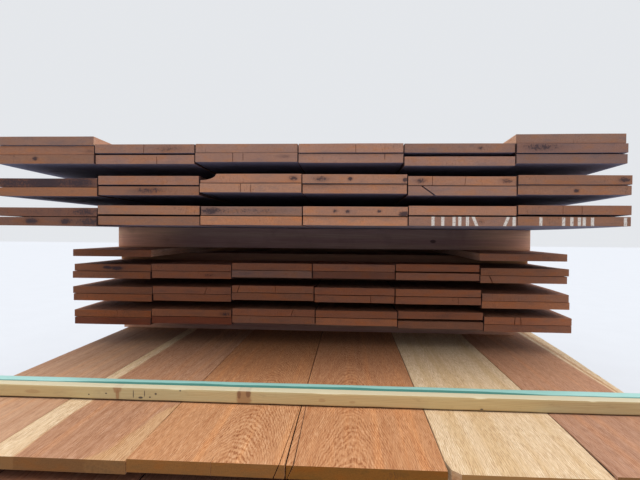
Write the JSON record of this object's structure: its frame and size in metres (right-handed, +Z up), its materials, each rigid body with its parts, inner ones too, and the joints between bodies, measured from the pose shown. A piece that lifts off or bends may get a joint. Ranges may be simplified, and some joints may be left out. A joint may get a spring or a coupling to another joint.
{
  "type": "stack of sawn lumber",
  "caption": "Stack of wide sawn hardwood boards laid in layers with sticks between them, carried on cross bearers above a strapped bottom pack.",
  "frame": {"origin": "on the floor, under the middle of the bottom pack and of the box round the whole stack", "axes": "+Y along the boards, away from the front ends; +X to the right seen from the front; +Z up"},
  "size_m": [1.8447, 4.2005, 1.3339],
  "materials": {
    "hardwood_boards": "sawn, bare",
    "bearer_timber": "sawn, weathered",
    "stick_timber": "sawn, bare",
    "batten_pine": "sawn, bare",
    "strap_plastic": "smooth"
  },
  "bodies": {
    "root": {"front_batten": "batten_pine", "front_strap": "strap_plastic", "ground_bearers": "bearer_timber", "lower_bearers": "bearer_timber", "lower_layer_1_lower_boards": "hardwood_boards", "lower_layer_1_upper_boards": "hardwood_boards", "lower_layer_2_lower_boards": "hardwood_boards", "lower_layer_2_upper_boards": "hardwood_boards", "lower_layer_3_lower_boards": "hardwood_boards", "lower_layer_3_upper_boards": "hardwood_boards", "lower_side_boards": "hardwood_boards", "lower_sticks_1": "stick_timber", "lower_sticks_2": "stick_timber", "lower_sticks_3": "stick_timber", "pack_layer_1_lower_boards": "hardwood_boards", "pack_layer_1_upper_boards": "hardwood_boards", "pack_layer_2_lower_boards": "hardwood_boards", "pack_layer_2_upper_boards": "hardwood_boards", "pack_layer_3_lower_boards": "hardwood_boards", "pack_layer_3_upper_boards": "hardwood_boards", "pack_layer_4_lower_boards": "hardwood_boards", "pack_layer_4_upper_boards": "hardwood_boards", "pack_layer_5_lower_boards": "hardwood_boards", "pack_layer_5_upper_boards": "hardwood_boards", "pack_layer_6_lower_boards": "hardwood_boards", "pack_layer_6_upper_boards": "hardwood_boards", "pack_sticks_1": "stick_timber", "pack_sticks_2": "stick_timber", "pack_sticks_3": "stick_timber", "pack_sticks_4": "stick_timber", "pack_top_boards": "hardwood_boards", "rear_batten": "batten_pine", "rear_strap": "strap_plastic", "upper_bearers": "bearer_timber", "upper_layer_1_lower_boards": "hardwood_boards", "upper_layer_1_upper_boards": "hardwood_boards", "upper_layer_2_lower_boards": "hardwood_boards", "upper_layer_2_upper_boards": "hardwood_boards", "upper_layer_3_lower_boards": "hardwood_boards", "upper_layer_3_upper_boards": "hardwood_boards", "upper_side_boards": "hardwood_boards", "upper_sticks_1": "stick_timber", "upper_sticks_2": "stick_timber", "upper_sticks_3": "stick_timber"}
  },
  "joints": []
}
